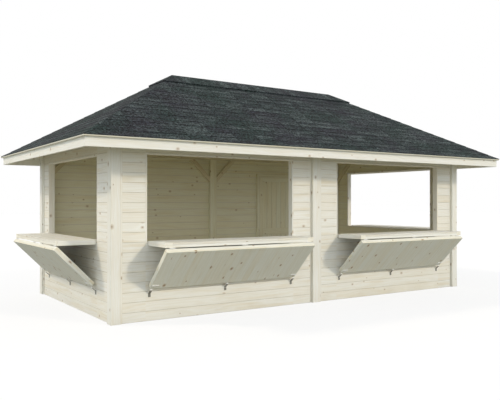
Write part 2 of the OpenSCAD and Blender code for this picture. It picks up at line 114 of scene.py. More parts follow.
def seed_of(name):
    """A seed from a name: the sum of its letters' codes."""
    return sum(map(ord, name))


# ---- sections ----

def squared(a0, a1, b0, b1, r=0.004, points=3):
    """A squared stick's section with eased corners: quarter circles of radius r about the four
    inset corners, each angle stepping evenly through ninety degrees. Returns points and arris flags."""
    turn = np.linspace(0, math.pi / 2, points)
    centres = np.array([[a1 - r, b1 - r], [a0 + r, b1 - r], [a0 + r, b0 + r], [a1 - r, b0 + r]])
    angles = turn[None, :] + np.arange(4)[:, None] * math.pi / 2
    corners = centres[:, None, :] + r * np.stack([np.cos(angles), np.sin(angles)], axis=-1)
    flags = np.tile(np.r_[np.ones(points - 1), 0.0], 4)
    return corners.reshape(-1, 2), flags


def ring(r, sides):
    """A round section: r·(cos a, sin a), with the angle a in even steps round the circle."""
    turn = np.arange(sides) * 2 * math.pi / sides
    return r * np.stack([np.cos(turn), np.sin(turn)], axis=-1)


def matched(z0, z1, t, chamfer=EASE, tongue=0.008, top=True, foot=True, inner=0.0):
    """A tongue and groove board's section: width z0 to z1, outer face at 0 and back at -t. Its four
    long arrises are bevelled by the chamfer, the tongue stands up from the middle of the top edge
    and the groove is sunk by a little more into the foot edge. inner marks the back face."""
    m, k, g = -t / 2, t / 11, tongue * 1.25
    up, dn = (tongue if top else 0.0), (g if foot else 0.0)
    c, gap = chamfer, 0.0004
    p = [(z0 + c, 0), (z0 + gap, -c), (z0 + gap, m + k), (z0 + gap + dn, m + k * 0.9),
         (z0 + gap + dn, m - k * 0.9), (z0 + gap, m - k), (z0 + gap, -t + c), (z0 + c, -t),
         (z1 - c, -t), (z1 - gap, -t + c), (z1 - gap, m - k * 0.85), (z1 - gap + up, m - k * 0.7),
         (z1 - gap + up, m + k * 0.7), (z1 - gap, m + k * 0.85), (z1 - gap, -c), (z1 - c, 0)]
    return np.array(p), np.array([BEVELLED] * 7 + [inner] + [BEVELLED] * 7 + [0.0])


def place_object(name, data):
    """An object of this name in the scene."""
    thing = bpy.data.objects.new(name, data)
    bpy.context.scene.collection.objects.link(thing)
    return thing


class Stock:
    """Cut lengths gathered for one piece, joined into a single mesh when the piece is made."""

    def __init__(self, seed):
        self.rng = np.random.default_rng(seed)
        self.verts, self.quads, self.caps, self.base = [], [], [], 0
        self.uv_q, self.uv_c, self.tone_q, self.tone_c, self.arris_q, self.arris_c = ([] for _ in range(6))

    def lay(self, origin, run, rise, section, start, stop, flags=None, steps=1, taper=None, bow=0.0,
            tone=None, least=None, most=None, shortest=0.004):
        """Lays N sticks at once. Point (i, k) of stick n is
        origin + across·p + rise·q + run·(t0 + (t1 - t0)·i/steps), where (p, q) is point k of the
        section, across = rise × run, and t0 and t1 are where the line through that point meets the
        two cutting planes. taper scales the section at each step, bow lifts it by a half sine wave,
        and least and most keep the lengths inside two more cutting planes. Lengths under the shortest
        are left out."""
        origin = np.atleast_2d(np.asarray(origin, float))
        section = np.asarray(section, float)
        if section.ndim == 2:
            section = section[None]
        n = max(len(v) for v in (origin, section, *map(np.atleast_2d, (start[0], run, stop[0]))))
        origin = np.broadcast_to(origin, (n, 3))
        section = np.broadcast_to(section, (n,) + section.shape[1:])
        run = np.broadcast_to(unit(np.atleast_2d(run)), (n, 3))
        rise = np.broadcast_to(unit(np.atleast_2d(rise)), (n, 3))
        across = np.cross(rise, run)
        k = section.shape[1]

        def meet(plane, base):
            point, normal = (np.broadcast_to(np.atleast_2d(v), (n, 3)) for v in plane)
            return (np.einsum("nc,nc->n", point, normal)[:, None]
                    - np.einsum("nkc,nc->nk", base, normal)) / np.einsum("nc,nc->n", run, normal)[:, None]

        base = (origin[:, None] + section[..., :1] * across[:, None] + section[..., 1:] * rise[:, None])
        t0, t1 = meet(start, base), meet(stop, base)
        low = t0 if least is None else meet(least, base)
        high = t1 if most is None else meet(most, base)
        low, high = np.minimum(low, (low + high) / 2), np.maximum(high, (low + high) / 2)
        t0, t1 = np.clip(t0, low, high), np.clip(np.maximum(t0, t1), low, high)
        keep = (t1 - t0).max(axis=1) > shortest
        n = int(keep.sum())
        if n == 0:
            return self
        kept = (v[keep] for v in (t0, t1, origin, section, run, rise, across))
        t0, t1, origin, section, run, rise, across = kept
        way = np.linspace(0, 1, steps + 1)
        scale = np.ones(steps + 1) if taper is None else np.asarray(taper, float)
        t = t0[:, None] + (t1 - t0)[:, None] * way[None, :, None]
        p = section[:, None, :, 0] * scale[None, :, None]
        q = section[:, None, :, 1] * scale[None, :, None]
        q = q + bow * np.sin(way * math.pi)[None, :, None] * self.rng.uniform(-1, 1, (n, 1, 1))
        v = (origin[:, None, None] + p[..., None] * across[:, None, None] + q[..., None] * rise[:, None, None]
             + t[..., None] * run[:, None, None])
        idx = self.base + np.arange(n * (steps + 1) * k).reshape(n, steps + 1, k)
        nxt = np.roll(idx, -1, axis=2)
        quad = np.stack([idx[:, :-1], nxt[:, :-1], nxt[:, 1:], idx[:, 1:]], axis=-1)
        # how far along and how far round, with a shift of its own for each stick
        edge = np.linalg.norm(np.roll(section, -1, axis=1) - section, axis=-1)
        girth = np.concatenate([np.zeros((n, 1)), np.cumsum(edge, axis=1)], axis=1)
        shift = self.rng.uniform(0, 40, (n, 2))
        u = t + shift[:, :1, None]
        va, vb = (np.broadcast_to(g[:, None] + shift[:, 1:, None], u.shape)
                  for g in (girth[:, :-1], girth[:, 1:]))
        ub = np.roll(u, -1, axis=2)
        corners = ((u[:, :-1], va[:, :-1]), (ub[:, :-1], vb[:, :-1]),
                   (ub[:, 1:], vb[:, 1:]), (u[:, 1:], va[:, 1:]))
        uvq = np.stack([np.stack(pair, -1) for pair in corners], axis=-2)
        uvc = section + shift[:, None, :]
        ends, end_uv = [idx[:, 0, ::-1], idx[:, -1]], [uvc[:, ::-1], uvc]
        # a section drawn clockwise has all its faces turned over
        x, y = section[0].T
        if np.sum(x * np.roll(y, -1) - np.roll(x, -1) * y) <= 0:
            quad, uvq = quad[..., ::-1], uvq[..., ::-1, :]
            ends, end_uv = [e[:, ::-1] for e in ends], end_uv[::-1]
        tones = self.rng.uniform(0, 1, n) if tone is None else np.broadcast_to(tone, (len(keep),))[keep]
        flags = np.zeros(k) if flags is None else np.asarray(flags, float)
        self.verts.append(v.reshape(-1, 3))
        self.quads.append(quad.reshape(-1, 4))
        self.uv_q.append(uvq.reshape(-1, 2))
        self.tone_q.append(np.repeat(tones, steps * k * 4))
        self.arris_q.append(np.repeat(np.broadcast_to(flags, (n, steps, k)).reshape(-1), 4))
        self.caps.append((k, np.concatenate(ends)))
        self.uv_c.append(np.concatenate(end_uv).reshape(-1, 2))
        self.tone_c.append(np.repeat(np.concatenate([tones, tones]), k))
        self.arris_c.append(np.full(2 * n * k, END_GRAIN))
        self.base += v.size // 3
        return self

    def stick(self, a, b, run, rise, section, flags=None, **more):
        """Sticks from a to b along the run, both ends cut square to it."""
        return self.lay(a, run, rise, section, (a, run), (b, run), flags, **more)

    def box(self, low, high, run):
        """Squared sticks between two corners, with the grain along axis number run."""
        low, high = np.atleast_2d(low).astype(float), np.atleast_2d(high).astype(float)
        way, rise = np.eye(3)[run], np.eye(3)[2 if run != 2 else 1]
        across = np.cross(rise, way)
        for c, h in zip((low + high) / 2, (high - low) / 2):
            a, b, d = abs(h @ across), abs(h @ rise), h @ way
            sec, flags = squared(-a, a, -b, b, min(EASE, a * 0.45, b * 0.45))
            self.lay(c, way, rise, sec, (c - d * way, way), (c + d * way, way), flags)
        return self

    def rod(self, point, run, length, r, sides=12):
        """Round bars: a ring of radius r about the axis, carried along it for the length."""
        point = np.atleast_2d(point)
        return self.stick(point, point + unit(run) * length, run, np.cross(run, aside(run)), ring(r, sides))

    def heads(self, points, normal, r=0.0045, h=0.0012):
        """Screw heads: an eight-sided ring of radius r, drawn in to 0.72 r at the height h."""
        points = np.atleast_2d(points)
        normal = unit(normal)
        return self.lay(points, normal, unit(np.cross(normal, aside(normal))), ring(r, 8),
                        (points - normal * 0.0006, normal), (points + normal * h, normal),
                        steps=2, taper=[1.0, 1.0, 0.72], shortest=0.0)

    def make(self, name, material, *nodes, body="stall", slot="timber"):
        """Joins what was laid into one mesh object, with its grain map and its tone and arris values."""
        verts = np.concatenate(self.verts)
        quads = np.concatenate(self.quads)
        loops = np.concatenate([quads.ravel()] + [c.ravel() for _, c in self.caps])
        total = np.concatenate([np.full(len(quads), 4)] + [np.full(len(c), k) for k, c in self.caps])
        mesh = bpy.data.meshes.new(name)
        for items, count in ((mesh.vertices, len(verts)), (mesh.loops, len(loops)),
                             (mesh.polygons, len(total))):
            items.add(count)
        mesh.vertices.foreach_set("co", verts.astype(np.float32).ravel())
        mesh.loops.foreach_set("vertex_index", loops.astype(np.int32))
        mesh.polygons.foreach_set("loop_start", np.r_[0, np.cumsum(total)[:-1]].astype(np.int32))
        mesh.polygons.foreach_set("loop_total", total.astype(np.int32))
        mesh.polygons.foreach_set("use_smooth", np.zeros(len(total), bool))
        mesh.update(calc_edges=True)
        grain = mesh.uv_layers.new(name="grain")
        grain.data.foreach_set("uv", np.concatenate(self.uv_q + self.uv_c).astype(np.float32).ravel())
        for label, parts in (("tone", self.tone_q + self.tone_c), ("arris", self.arris_q + self.arris_c)):
            layer = mesh.attributes.new(label, "FLOAT", "CORNER")
            layer.data.foreach_set("value", np.concatenate(parts).astype(np.float32))
        mesh.validate()
        mesh.materials.append(material)
        piece = place_object(name, mesh)
        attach(piece, body)
        if nodes:
            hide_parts(*nodes)
        return piece


# ---- materials ----

def feed(tree, socket, value):
    """Links what another node puts out, or sets a plain value; a colour gets its alpha of 1."""
    if isinstance(value, bpy.types.NodeSocket):
        tree.links.new(value, socket)
    else:
        socket.default_value = (*value, 1.0)[:4] if socket.type == "RGBA" else value


def part(tree, kind, **values):
    """Adds a node; values are socket names or numbers (i0, i1 ...), or the node's own settings."""
    n = tree.nodes.new("ShaderNode" + kind)
    for key, value in values.items():
        if key[0] == "i" and key[1:].isdigit():
            feed(tree, n.inputs[int(key[1:])], value)
        elif hasattr(n, key):
            setattr(n, key, value)
        else:
            feed(tree, n.inputs[key.replace("_", " ")], value)
    return n


def figure(tree, op, a, b=0.0, c=0.0):
    """One arithmetic node: op applied to a, b and c."""
    return part(tree, "Math", operation=op, i0=a, i1=b, i2=c).outputs[0]


def times(tree, a, b):
    """a·b."""
    return figure(tree, "MULTIPLY", a, b)


def blend_colour(tree, mask, a, b, way="MIX"):
    """Colour a turned to colour b by the mask."""
    n = part(tree, "Mix", data_type="RGBA", blend_type=way, clamp_factor=True, i0=mask, i6=a, i7=b)
    return n.outputs[2]


def tinted(tree, colour, mask, by):
    """The colour, multiplied by another as far as the mask says."""
    return blend_colour(tree, mask, colour, blend_colour(tree, 1.0, colour, by, "MULTIPLY"))


def between(tree, value, low, high, to_low=0.0, to_high=1.0):
    """A value carried from one range to another and held at its ends."""
    return part(tree, "MapRange", Value=value, From_Min=low, From_Max=high, To_Min=to_low,
                To_Max=to_high).outputs[0]


def noise(tree, place, scale, detail, rough=0.5):
    """Cloudy noise from 0 to 1 about the places given."""
    return part(tree, "TexNoise", Vector=place, Scale=scale, Detail=detail, Roughness=rough).outputs[0]


def effect(name, inputs, outputs):
    """A shader node group with named sockets: returns the group, what its inputs give, and a function
    that sends values to its outputs."""
    g = bpy.data.node_groups.new(name, "ShaderNodeTree")
    for label, kind, value in inputs:
        s = g.interface.new_socket(label, in_out="INPUT", socket_type="NodeSocket" + kind)
        if value is not None:
            s.default_value = value
    for label in outputs:
        g.interface.new_socket(label, in_out="OUTPUT", socket_type="NodeSocketFloat")
    given, sent = g.nodes.new("NodeGroupInput"), g.nodes.new("NodeGroupOutput")

    def send(*values):
        for label, value in zip(outputs, values):
            g.links.new(value, sent.inputs[label])
        return g

    return g, given.outputs, send


def spruce_figure():
    """Growth rings, knots and fine fibre of a planed spruce board, from its grain map in metres."""
    cells_u, cells_v = 4.2, 11.0       # lattice cells a metre, along and across the board
    g, given, send = effect("spruce figure", [("Along", "Vector", None), ("Tone", "Float", 0.5),
                                              ("Knots", "Float", 0.5), ("Knot Size", "Float", 0.011)],
                            ["Rings", "Fibre", "Bands", "Knot", "Knot Eye"])
    u, v = part(g, "SeparateXYZ", Vector=given["Along"]).outputs[:2]
    # knots: one place in each cell of a stretched lattice, most of them left out
    cell = part(g, "CombineXYZ", X=times(g, u, cells_u), Y=times(g, v, cells_v))
    spots = part(g, "TexVoronoi", voronoi_dimensions="2D", Vector=cell.outputs[0], Scale=1.0, Randomness=0.9)
    place = part(g, "SeparateXYZ", Vector=spots.outputs["Position"])
    du = figure(g, "SUBTRACT", u, figure(g, "DIVIDE", place.outputs[0], cells_u))
    dv = figure(g, "SUBTRACT", v, figure(g, "DIVIDE", place.outputs[1], cells_v))
    far = figure(g, "SQRT", figure(g, "ADD", times(g, times(g, du, du), 0.55), times(g, dv, dv)))
    pick = part(g, "SeparateColor", Color=spots.outputs["Color"])
    size = times(g, given["Knot Size"], figure(g, "ADD", 0.45, pick.outputs[1]))
    there = figure(g, "LESS_THAN", pick.outputs[0], given["Knots"])
    share = figure(g, "DIVIDE", far, size)
    knot = times(g, there, between(g, share, 1.6, 0.75))
    eye = times(g, there, between(g, share, 0.65, 0.2))
    # rings run along the board and swell round each knot
    swell = part(g, "MapRange", interpolation_type="SMOOTHSTEP", Value=share, From_Min=5.0, From_Max=0.6)
    push = times(g, there, times(g, size, swell.outputs[0]))

    def streaks(along, across, apart, detail):
        """Noise drawn out along the board, another for each tone."""
        at = part(g, "CombineXYZ", X=times(g, u, along), Y=times(g, v, across),
                  Z=times(g, given["Tone"], apart))
        return noise(g, at.outputs[0], 1.0, detail)

    wander = streaks(1.3, 9.0, 31.0, 3.0)
    phase = figure(g, "ADD", times(g, wander, 5.2), times(g, figure(g, "ADD", v, push), 24.0))
    rings = between(g, figure(g, "PINGPONG", phase, 0.5), 0.0, 0.5)
    fibre = streaks(18.0, 700.0, 11.0, 2.0)
    bands = between(g, streaks(1.6, 18.0, 17.0, 3.0), 0.50, 0.72)
    return send(rings, fibre, bands, knot, eye)


def weather_marks():
    """Splash and dust on outdoor faces: strongest at the foot, with streaks and blotches, by height."""
    g, given, send = effect("weather marks", [("Place", "Vector", None), ("Foot", "Float", 0.22)],
                            ["Splash", "Blotch"])
    height = part(g, "SeparateXYZ", Vector=given["Place"]).outputs[2]
    cloud = noise(g, given["Place"], 2.6, 5.0, 0.6)
    low = between(g, height, given["Foot"], 0.0)
    splash = times(g, figure(g, "POWER", low, 1.6), between(g, cloud, 0.3, 0.75))
    return send(splash, between(g, noise(g, given["Place"], 0.9, 4.0), 0.35, 0.68))


def mineral_granules():
    """Crushed slate pressed into bitumen: grains of three shades, and their relief."""
    g, given, send = effect("mineral granules", [("Place", "Vector", None), ("Grain", "Float", 420.0)],
                            ["Shade", "Relief"])
    grit = part(g, "TexVoronoi", Vector=given["Place"], Scale=given["Grain"])
    pick = part(g, "SeparateColor", Color=grit.outputs["Color"])
    coarse = noise(g, given["Place"], 95.0, 3.0, 0.7)
    shade = figure(g, "ADD", times(g, pick.outputs[0], 0.45), times(g, coarse, 0.75))
    return send(shade, figure(g, "SUBTRACT", 1.0, grit.outputs["Distance"]))


GROUPS = {"figure": spruce_figure(), "weather": weather_marks(), "granules": mineral_granules()}


def use(tree, name, **values):
    """What an effect gives in a material with the values set here."""
    return part(tree, "Group", node_tree=GROUPS[name], **values).outputs


def blank_tree(owner):
    """The emptied node tree of a material or a world."""
    owner.use_nodes = True
    owner.node_tree.nodes.clear()
    return owner.node_tree


def surface(name):
    """A material, its node tree and where each point of the object lies."""
    m = bpy.data.materials.new(name)
    t = blank_tree(m)
    return m, t, part(t, "TexCoord").outputs["Object"]


def stored(tree, label):
    """A value stored in the mesh: tone or arris."""
    return part(tree, "Attribute", attribute_name=label).outputs["Fac"]


def marked(tree, kind):
    """1 on faces whose arris value is of this kind, else 0."""
    return figure(tree, "COMPARE", stored(tree, "arris"), kind, 0.4)


def dress(tree, colour, rough, relief, strength, depth, **settings):
    """Puts a Principled shader on the output, with its colour, roughness, relief and plain values."""
    shader = part(tree, "BsdfPrincipled", Base_Color=colour, Roughness=rough, **settings)
    bump = part(tree, "Bump", Strength=strength, Distance=depth, Height=relief)
    tree.links.new(bump.outputs[0], shader.inputs["Normal"])
    part(tree, "OutputMaterial", Surface=shader.outputs[0])


def stained_spruce(name, light, dark, joint=0.45, foot=0.25, knots=0.34, knot_size=0.011,
                   room=False, bands=0.55, knot_tint=0.5):
    """Planed spruce under a thin cream stain. The grain follows each board's own grain map. Bevels are
    darkened, end grain is darker, and the room side is painted a warm yellow shade for light bounced inside."""
    m, t, place = surface(name)
    along, tone = part(t, "UVMap", uv_map="grain").outputs[0], stored(t, "tone")
    fig = use(t, "figure", Along=along, Tone=tone, Knots=knots, Knot_Size=knot_size)
    wet = use(t, "weather", Place=place, Foot=foot)
    rings = times(t, figure(t, "ADD", times(t, fig["Rings"], 0.6), times(t, fig["Fibre"], 0.4)), 0.8)
    colour = blend_colour(t, rings, light, dark)
    for mask, amount, by in ((between(t, tone, 0.2, 1.0), 0.6, (0.975, 0.935, 0.865)),
                             (wet["Blotch"], 0.35, (0.95, 0.96, 0.97)),
                             (fig["Bands"], bands, (0.90, 0.83, 0.70))):
        colour = tinted(t, colour, times(t, mask, amount), by)
    for mask, amount, brown in ((fig["Knot"], knot_tint, (0.52, 0.39, 0.25)),
                                (fig["Knot Eye"], knot_tint * 1.1, (0.26, 0.18, 0.11))):
        colour = blend_colour(t, times(t, mask, amount), colour, brown)
    # painted shade: faces marked as the room side (with room on: every face not facing +y) get a warm yellow
    # tint for light bounced inside
    room_side_shade = marked(t, ROOM_SIDE)
    if room:
        facing = part(t, "SeparateXYZ", Vector=part(t, "TexCoord").outputs["Normal"]).outputs[1]
        room_side_shade = figure(t, "LESS_THAN", facing, 0.5)
    for mask, amount, by in ((marked(t, BEVELLED), joint, (0.52, 0.47, 0.38)),
                             (marked(t, END_GRAIN), 0.6, (0.98, 0.93, 0.82)),
                             (room_side_shade, 1.0, (0.93, 0.92, 0.77)),
                             (wet["Splash"], 0.45, (0.74, 0.70, 0.61))):
        colour = tinted(t, colour, times(t, mask, amount), by)
    rough = figure(t, "ADD", 0.58, times(t, fig["Fibre"], 0.2))
    relief = figure(t, "ADD", times(t, fig["Rings"], 0.35),
                    figure(t, "SUBTRACT", times(t, fig["Fibre"], 0.65), times(t, fig["Knot"], 0.5)))
    dress(t, colour, rough, relief, 0.35, 0.0012, Specular_IOR_Level=0.35)
    return m


def slate_felt(name):
    """Bitumen shingles with a mineral face: patches of blue, green and brown grey from tab to tab."""
    m, t, place = surface(name)
    tone, along = stored(t, "tone"), part(t, "UVMap", uv_map="grain").outputs[0]
    grit = use(t, "granules", Place=place)
    stretch = part(t, "Mapping", Vector=along, Scale=(1.0, 5.0, 1.0))
    smear = noise(t, stretch.outputs[0], 1.0, 5.0, 0.65)
    flake = part(t, "Mapping", Vector=place, Scale=(36.0, 36.0, 60.0))
    fleck = noise(t, flake.outputs[0], 1.0, 4.0, 0.75)
    green = between(t, noise(t, place, 1.3, 4.0, 0.6), 0.42, 0.60)
    colour = blend_colour(t, green, (0.0135, 0.0145, 0.019), (0.010, 0.018, 0.017))
    for mask, amount, pale in ((between(t, tone, 0.6, 1.0), 0.2, (0.034, 0.043, 0.043)),
                               (between(t, smear, 0.46, 0.64), 0.8, (0.042, 0.054, 0.054))):
        colour = blend_colour(t, times(t, mask, amount), colour, pale)
    for mask, dim, bright in ((between(t, fleck, 0.45, 0.60), (0.25, 0.25, 0.27), (2.7, 2.7, 2.7)),
                              (between(t, grit["Shade"], 0.35, 0.80), (0.55, 0.56, 0.58), (1.6, 1.6, 1.6))):
        colour = blend_colour(t, mask, blend_colour(t, 1.0, colour, dim, "MULTIPLY"),
                              blend_colour(t, 1.0, colour, bright, "MULTIPLY"))
    rough = figure(t, "SUBTRACT", 0.97, times(t, grit["Shade"], 0.15))
    dress(t, colour, rough, grit["Relief"], 0.5, 0.002, Specular_IOR_Level=0.2)
    return m


def galvanised(name, dark, pale, metallic):
    """Zinc on steel: spangle patches, a little white bloom, and pale bevelled faces: wear on the hinges
    and bolts, and a painted highlight on the rest bars' lips.
    """
    m, t, place = surface(name)
    spangle = part(t, "TexVoronoi", Vector=place, Scale=160.0)
    pick = part(t, "SeparateColor", Color=spangle.outputs["Color"])
    bloom = noise(t, place, 45.0, 4.0)
    colour = blend_colour(t, pick.outputs[0], dark, pale)
    colour = blend_colour(t, between(t, bloom, 0.55, 0.85), colour, (0.84, 0.84, 0.82))
    # pale bevels: wear on the hinges and bolts, and a painted highlight on the rest bars' lips
    colour = blend_colour(t, marked(t, BEVELLED), colour, (0.90, 0.89, 0.85))
    rough = figure(t, "ADD", 0.34, times(t, bloom, 0.3))
    dress(t, colour, rough, pick.outputs[1], 0.15, 0.0005, Metallic=metallic)
    return m


PALE, GRAINED = (0.91, 0.905, 0.86), (0.84, 0.81, 0.71)
CREAM = stained_spruce("cream stained spruce", PALE, GRAINED, joint=0.25, knots=0.34, knot_size=0.013,
                       bands=0.3)
BOARDS = stained_spruce("cream stained wall boards", PALE, GRAINED, knots=0.17, knot_size=0.012)
LEAVES = stained_spruce("cream stained leaf boards", (0.86, 0.86, 0.79), (0.79, 0.775, 0.67), joint=0.05,
                        knots=0.26, knot_size=0.0135, bands=0.35, knot_tint=0.85)
# painted shade: the door, its frame and the back middle post get the warm room tint on every face but the
# back wall's outer one
ROOM = stained_spruce("spruce with painted room shade", PALE, GRAINED, knots=0.17, room=True)
TOPS = stained_spruce("counter spruce", (0.92, 0.92, 0.875), (0.86, 0.845, 0.76), joint=0.2, knots=0.12)
# painted shade: a darker, warmer copy of the cream spruce for the plate, braces and roof timbers, which sit
# in shade under the roof
SHADED = stained_spruce("roof timber spruce painted in shade", (0.78, 0.73, 0.55), (0.64, 0.57, 0.39), joint=0.5, foot=0.01,
                        knots=0.18)
# painted shade: the eave trim is a greyer, darker copy of the cream spruce, for its shade under the felt's
# edge
DRIP_IN_SHADE = stained_spruce("drip strip spruce painted in shade", (0.74, 0.735, 0.65), (0.66, 0.645, 0.54), joint=0.4, knots=0.05)
FELT = slate_felt("slate faced shingle felt")
ZINC = galvanised("galvanised steel", (0.80, 0.80, 0.79), (0.90, 0.90, 0.88), 0.25)
# painted shade: a dark olive grey steel for the rest bars, which sit in the shade under the leaves
BAR_IN_SHADE = galvanised("steel bar painted dark for shade", (0.17, 0.17, 0.14), (0.25, 0.24, 0.20), 0.3)
STEEL, SHEET = "galvanised_steel", "roofing_felt"      # slots

# ---- walls ----

ROWS = np.r_[np.arange(0, 19) * BOARD, WALL_H]
BOW, THINNEST = 0.0004, 0.006


def lay_boards(stock, wall, x0, x1, z0, z1):
    """Rows of matched boards between two heights and two distances along a wall."""
    along, out, reach = WALLS[wall]
    for low, high in zip(ROWS[:-1], ROWS[1:]):
        a, b = max(low, z0), min(high, z1)
        if b - a < THINNEST:
            continue
        sec, flags = matched(a, b, WALL_T, min(EASE, (b - a) / 4), top=b == high and b < WALL_H,
                             foot=a == low and a > 0, inner=ROOM_SIDE)
        back = -abs(stock.rng.normal(0, HAIR))
        stock.stick(on_wall(wall, x0, back, 0), on_wall(wall, x1, back, 0), along, out, sec, flags,
                    steps=4, bow=BOW)


def close_joint(stock, wall, x1, z1):
    """The flat batten in the open joint beside the post at x1."""
    sec, flags = squared(-RECESS / 2, RECESS / 2, -BATTEN_T / 2, BATTEN_T / 2, 0.002)
    foot = on_wall(wall, x1 - RECESS / 2, -BATTEN_IN, 0)
    stock.stick(foot, foot + UP * z1, UP, WALLS[wall][1], sec, tone=0.8)


def wall_boards(name, wall, x0, x1, openings=()):
    """A boarded panel: full rows outside the opening, and short rows beside it. The boards stop
    short of the post at the right, where a flat batten closes the joint from behind."""
    stock = Stock(seed_of(name))
    edge = x1 - RECESS
    if not openings:
        lay_boards(stock, wall, x0, edge, 0, WALL_H)
    for o0, o1, lo, hi in openings:
        for a, b, z0, z1 in ((x0, o0, 0, WALL_H), (o1, edge, 0, WALL_H),
                             (o0, o1, 0, lo), (o0, o1, hi, WALL_H)):
            lay_boards(stock, wall, a, b, z0, z1)
    close_joint(stock, wall, x1, WALL_H)
    return stock


def opening(mid, width):
    """The hole in the boards for a lined opening."""
    return [(mid - width / 2 - LINING_T, mid + width / 2 + LINING_T, SILL_Z - LINING_T, HEAD_Z + LINING_T)]


# the back wall is drawn from behind, so its x runs the other way
for name, node, wall, x0, x1, holes in (
        ("front_boards_left", "front_wall_left", "front", -BAY_OUT, -BAY_IN, opening(-BAY_MID, FRONT_OPEN)),
        ("front_boards_right", "front_wall_right", "front", BAY_IN, BAY_OUT, opening(BAY_MID, FRONT_OPEN)),
        ("left_end_boards", "left_end_wall", "left", -END_IN, END_IN, opening(LEFT_MID, END_OPEN)),
        ("right_end_boards", "right_end_wall", "right", -END_IN, END_IN, opening(0, END_OPEN)),
        ("back_boards_left", "back_wall_left", "back", BAY_IN, BAY_OUT, ())):
    wall_boards(name, wall, x0, x1, holes).make(name, BOARDS, node)

FRAME_X0, FRAME_X1 = DOOR_X0 - DOOR_GAP - FRAME_W, DOOR_X1 + DOOR_GAP + FRAME_W
FRAME_TOP = DOOR_TOP + DOOR_GAP + FRAME_W
beside, other, over = Stock(41), Stock(43), Stock(47)
lay_boards(beside, "back", -FRAME_X0, -BAY_IN - RECESS, 0, FRAME_TOP)
close_joint(beside, "back", -BAY_IN, FRAME_TOP)
beside.make("back_boards_by_hinges", BOARDS, "back_wall_beside_door_left")
lay_boards(other, "back", -BAY_OUT, -FRAME_X1, 0, FRAME_TOP)
other.make("back_boards_by_lock", BOARDS, "back_wall_beside_door_right")
lay_boards(over, "back", -BAY_OUT, -BAY_IN, FRAME_TOP, WALL_H)
over.make("back_boards_over_door", BOARDS, "back_wall_over_door")

# ---- posts, strips, plate, linings, braces ----

for i, (node, x, y, w) in enumerate([
        ("post_front_left", -1, -1, CORNER), ("post_front_middle", 0, -1, MIDDLE),
        ("post_front_right", 1, -1, CORNER), ("post_back_left", -1, 1, CORNER),
        ("post_back_middle", 0, 1, MIDDLE), ("post_back_right", 1, 1, CORNER)]):
    c = np.array([x * (HALF_L - CORNER / 2), y * (HALF_W - CORNER / 2), 0])
    sec, flags = squared(-w / 2, w / 2, -CORNER / 2, CORNER / 2, 0.005, 4)
    stock = Stock(60 + i)
    stock.stick(c, c + UP * WALL_H, UP, [0, 1, 0], sec, flags, steps=6, tone=0.15)
    stock.make(node + "_timber", ROOM if node == "post_back_middle" else CREAM, node)

SCREW_END, SCREW_R, SCREW_H = 0.12, 0.0042, 0.0005
strips, strip_screws = Stock(71), Stock(72)
for wall, xs in (("front", (-BAY_OUT, BAY_IN)), ("back", (-BAY_OUT, BAY_IN)), ("left", (-END_IN,)),
                 ("right", (-END_IN,))):
    along, out, reach = WALLS[wall]
    sec, flags = squared(-STRIP_W / 2 + 0.004, STRIP_W / 2, 0, STRIP_T, EASE)
    foot = on_wall(wall, np.array(xs) + STRIP_W / 2, 0, 0)
    strips.stick(foot, foot + UP * WALL_H, UP, out, sec, flags, steps=4)
    screws = foot[:, None] + out * STRIP_T + UP * np.linspace(SCREW_END, WALL_H - SCREW_END, 6)[:, None]
    strip_screws.heads(screws.reshape(-1, 3) + along * 0.002, out, SCREW_R, SCREW_H)
strips.make("joint_strips", CREAM, "cover_strips")
strip_screws.make("joint_strip_screws", ZINC, slot=STEEL)

plate = Stock(73)
sec, flags = squared(-PLATE_W, 0, WALL_H + SNUG, PLATE_TOP, 0.004)
for wall, (along, out, reach) in WALLS.items():
    length = FACE_X if wall in ("front", "back") else FACE_Y
    p0, p1 = on_wall(wall, -length, 0, 0), on_wall(wall, length, 0, 0)
    # across = up × along points inwards, so what lies inside has a positive first value
    plate.lay(p0 * 0 + out * reach, along, UP, sec * [-1, 1], (p0, along + out), (p1, along - out), flags)
plate.make("wall_plate_timbers", SHADED, "wall_plate")

linings = Stock(79)
for wall, mid, width in (("front", -BAY_MID, FRONT_OPEN), ("front", BAY_MID, FRONT_OPEN),
                         ("left", LEFT_MID, END_OPEN), ("right", 0, END_OPEN)):
    along, out, reach = WALLS[wall]
    half = width / 2
    flat, fl = squared(-LINING_T / 2, LINING_T / 2, -LINING_D, 0, EASE)
    for z in (SILL_Z - LINING_T / 2, HEAD_Z + LINING_T / 2):
        p = on_wall(wall, [mid - half - LINING_T, mid + half + LINING_T], 0, z)
        linings.stick(p[:1], p[1:], along, out, flat, fl, steps=4)
    for x in (mid - half - LINING_T / 2, mid + half + LINING_T / 2):
        p = on_wall(wall, x, 0, [SILL_Z + HAIR, HEAD_Z - HAIR])
        linings.stick(p[:1], p[1:], UP, out, flat, fl, steps=3)
linings.make("opening_lining_boards", CREAM, "opening_linings")

braces = Stock(83)
depth = CORNER - PROUD
for wall, x0, x1 in (("front", -BAY_OUT, -BAY_IN), ("front", BAY_IN, BAY_OUT), ("back", -BAY_OUT, -BAY_IN),
                     ("back", BAY_IN, BAY_OUT), ("left", -END_IN, END_IN), ("right", -END_IN, END_IN)):
    along, out, reach = WALLS[wall]
    for x, way in ((x0, 1), (x1, -1)):
        foot = on_wall(wall, x, -(depth + WALL_T) / 2, WALL_H - BRACE_RUN)
        run = unit(along * way + UP)
        half = (depth - WALL_T) / 2 - 0.0005
        sec, flags = squared(0, BRACE_W, -half, half, 0.004)
        rise = out * way
        sec = sec * [1 if np.cross(rise, run) @ UP > 0 else -1, 1]
        braces.lay(foot, run, rise, sec, (foot, along), (foot + UP * BRACE_RUN, UP), flags, steps=3)
braces.make("knee_brace_timbers", SHADED, "knee_braces")

# ---- door ----

